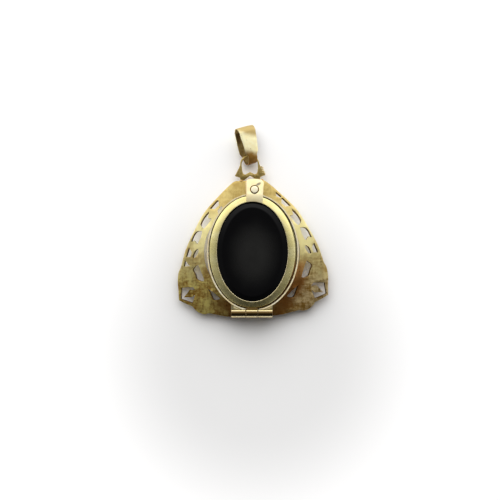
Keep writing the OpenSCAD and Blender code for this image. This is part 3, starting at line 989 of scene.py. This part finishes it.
def makeLoop():
    loop = copyNode("top_loop")
    finishPiece(loop, "topLoopCut", plateGold, "case", ["top_loop"],
                soften=loopDetail["edge"], corner=30)
    rng = random.Random(12)
    for i, (x, y) in enumerate(loopDetail["beads"]):
        radius = rng.uniform(*loopDetail["beadRadius"])
        half = (radius, radius, radius * loopDetail["beadSquash"])
        bead = lump(f"loopBead{i}", (x, y, loopDetail["beadHeight"]), half, 20 + i)
        bead.data.materials[0] = beadGold
    for name, at, half, seed in loopDetail["solder"]:
        lump(name, at, half, seed)


makeLoop()
print("locket: plate and loop done")

# bail: made along +Y with its foot at 0, then leaned, pitched and twisted into place

bailSize = {
    "length": 7.4,
    "depth": 3.0,
    "footWidth": 1.85,
    "neckWidth": 2.75,
    "topWidth": 3.5,
    "neck": 2.47,          # how far the neck is from the foot
    "neckRun": 0.9,        # the strap widens to the neck over this length
    "middleShare": 0.6,    # how far the width has gone from neck to head halfway between them
    "thick": 0.25,
    "edge": 0.05,
    "footPull": 0.1,       # the foot's bend is this much tighter than half the depth
    "headPull": 0.9,       # and the head's is this share of it
    "bendSteps": 64,
    "offset": 0.25,        # shift of the head to the right, and how far below the neck it starts
    "offsetEarly": 0.4,
    "crown": 0.02,
    "swell": 0.07,         # the strap bows out by this share, most at swellAt
    "swellAt": 3.3,
    "swellHalf": 2.4,
    "bar": 1.72,           # how far the loop's bar is from the foot
    "barMiddle": (-0.670, 18.645, 1.66),
    "side": -0.06,
    "lift": 0.24,
    "plateTurn": 2.1,      # angles in degrees
    "lean": 11.5,
    "twist": 23.5,
    "pitch": 5.0,
    "notches": ((20, 0.24), (48, 0.3), (76, 0.24)),   # torn edge: degrees round the head's bend, radius
    "notchOut": 0.03,
}


def strapWidth(u):
    # a smooth step from the foot's width to the neck's, then straight lines up to the head
    size = bailSize
    marks = [
        (-1, size["footWidth"]),
        (size["neck"] - size["neckRun"], size["footWidth"]),
        (size["neck"], size["neckWidth"]),
        ((size["neck"] + size["length"]) / 2,
         mixOne(size["neckWidth"], size["topWidth"], size["middleShare"])),
        (size["length"], size["topWidth"]),
        (size["length"] + 1, size["topWidth"]),
    ]
    for (u0, w0), (u1, w1) in zip(marks, marks[1:]):
        if u <= u1:
            share = (u - u0) / (u1 - u0)
            if w0 == size["footWidth"]:
                share = share * share * (3 - 2 * share)
            return mixOne(w0, w1, share)


def innerSide(at, normal, middle):
    # true for a face of the strap that looks into the bail
    size = bailSize
    untwist = Matrix.Rotation(-math.radians(size["twist"]), 3, "Y")
    unlean = Matrix.Rotation(-math.radians(size["plateTurn"] + size["lean"]), 3, "Z")
    flatAt = untwist @ unlean @ (at - middle)
    flatNormal = untwist @ unlean @ normal
    reach = size["length"] / 2 - size["depth"] / 2
    inward = Vector((0, min(reach, max(-reach, flatAt.y)), 0)) - Vector((0, flatAt.y, flatAt.z))
    return inward.dot(flatNormal) > 0.2 * inward.length


def makeBail():
    size = bailSize
    head = size["depth"] / 2
    foot = head - size["footPull"]
    tip = head * size["headPull"]
    bpy.ops.object.select_all(action="DESELECT")
    bpy.ops.mesh.primitive_cylinder_add(vertices=size["bendSteps"], radius=head * mm,
                                        depth=size["topWidth"] * mm, end_fill_type="NOTHING",
                                        rotation=(0, math.pi / 2, math.pi / size["bendSteps"]))
    strap = bpy.context.active_object
    bpy.ops.object.transform_apply(rotation=True)
    openPiece(strap)
    for sign, radius, u in ((1, tip, size["length"] - tip), (-1, foot, foot)):
        pick(strap, lambda vert: vert.co.y * sign > 0)
        bpy.ops.transform.resize(value=(1, radius / head, radius / head), center_override=(0, 0, 0))
        bpy.ops.transform.translate(value=(0, u * mm, 0))
    pick(strap, lambda edge: abs(edge.verts[0].co.y - edge.verts[1].co.y) > mm, "EDGE")
    bpy.ops.mesh.subdivide(number_cuts=12)
    pick(strap, lambda edge: abs(edge.verts[0].co.x - edge.verts[1].co.x) > mm, "EDGE")
    bpy.ops.mesh.subdivide(number_cuts=5)
    half = size["topWidth"] / 2
    columns = sorted({round(abs(vert.co.x) / mm, 2) for vert in bmesh.from_edit_mesh(strap.data).verts})
    for column in columns:
        pick(strap, lambda vert: abs(abs(vert.co.x) / mm - column) < 0.02)
        bpy.ops.transform.shrink_fatten(value=-size["crown"] * (column / half) ** 2 * mm)
    rows = sorted({round(vert.co.y / mm, 2) for vert in bmesh.from_edit_mesh(strap.data).verts})
    for row in rows:
        pick(strap, lambda vert: round(vert.co.y / mm, 2) == row)
        swell = 1 + size["swell"] * max(0, 1 - ((row - size["swellAt"]) / size["swellHalf"]) ** 2)
        narrow = strapWidth(row) / size["topWidth"]
        bpy.ops.transform.resize(value=(narrow, 1, swell), center_override=(0, 0, 0))
        rise = (row - size["neck"] + size["offsetEarly"]) / (size["length"] - size["neck"])
        share = min(1, max(0, rise))
        bpy.ops.transform.translate(value=(size["offset"] * share * mm, 0, 0))
    bpy.ops.mesh.select_all(action="SELECT")
    bpy.ops.mesh.normals_make_consistent(inside=False)
    bpy.ops.object.mode_set(mode="OBJECT")
    modify(strap, "SOLIDIFY", thickness=size["thick"] * mm, offset=-1, use_even_offset=True)
    modify(strap, "BEVEL", width=size["edge"] * mm, segments=3, limit_method="ANGLE",
           angle_limit=math.radians(50))
    for angle, radius in size["notches"]:
        bpy.ops.object.select_all(action="DESELECT")
        bend = math.radians(angle)
        spot = (-half + size["offset"] - size["notchOut"], size["length"] - tip + tip * math.cos(bend),
                -tip * math.sin(bend))
        bpy.ops.mesh.primitive_ico_sphere_add(subdivisions=2, radius=radius * mm,
                                              location=[v * mm for v in spot])
        cutAway(strap, bpy.context.active_object)
    turn = Matrix.Rotation(math.radians(size["plateTurn"] + size["lean"]), 4, "Z")
    turn = turn @ Matrix.Rotation(math.radians(size["pitch"]), 4, "X")
    turn = turn @ Matrix.Rotation(math.radians(size["twist"]), 4, "Y")
    strap.matrix_world = (Matrix.Translation(Vector(size["barMiddle"]) * mm) @ turn
                          @ Matrix.Translation(Vector((size["side"], -size["bar"], size["lift"])) * mm))
    finishPiece(strap, "bailStrap", bailGold, "bail", ["bail"], smooth=50)
    middle = sum((v.co for v in strap.data.vertices), Vector()) / len(strap.data.vertices) / mm
    # painted shade on the faces that look into the bail
    paintFaces(strap, bailInsideShade, lambda at, n: innerSide(at, n, middle))


makeBail()
print("locket: bail done")
